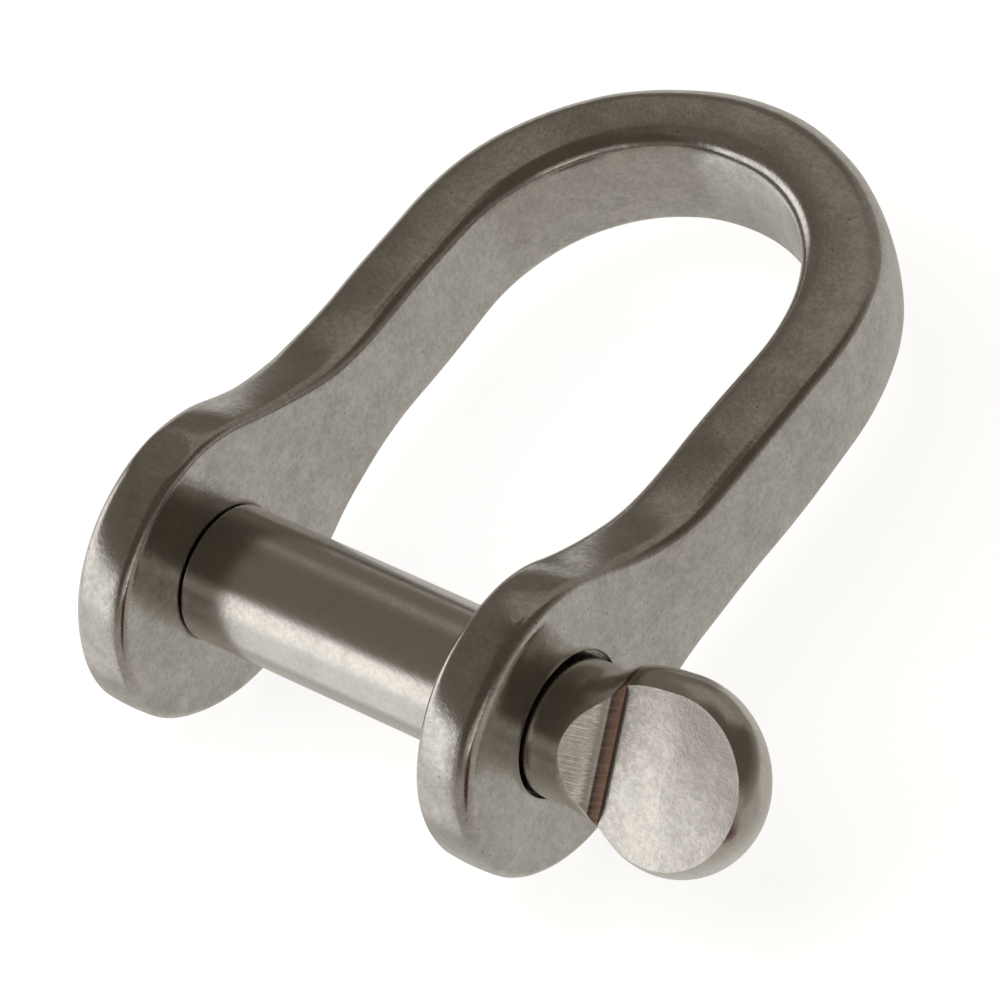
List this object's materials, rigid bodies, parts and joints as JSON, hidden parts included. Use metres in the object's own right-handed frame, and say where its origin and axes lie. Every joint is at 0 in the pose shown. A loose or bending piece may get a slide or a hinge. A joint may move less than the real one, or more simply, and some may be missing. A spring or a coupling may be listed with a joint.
{
  "type": "dee shackle",
  "caption": "Small strip-type dee shackle: a D-shaped bow with flat round ears, closed by a screw pin with a flat coin-shaped head.",
  "frame": {"origin": "on the pin's axis, midway between the two ears", "axes": "+X along the pin towards its head, +Y from the pin to the crown, +Z square to the plane of the bow"},
  "size_m": [0.0256, 0.0304, 0.011],
  "materials": {
    "bow_steel": "tumbled satin",
    "pin_steel": "turned satin"
  },
  "bodies": {
    "bow": {"bow": "bow_steel"},
    "pin": {"key_pin": "pin_steel"}
  },
  "joints": [
    {"name": "pin_withdraw", "type": "slide", "parent": "bow", "child": "pin", "axis": [1, 0, 0], "range_m": [0, 0.0183]}
  ]
}
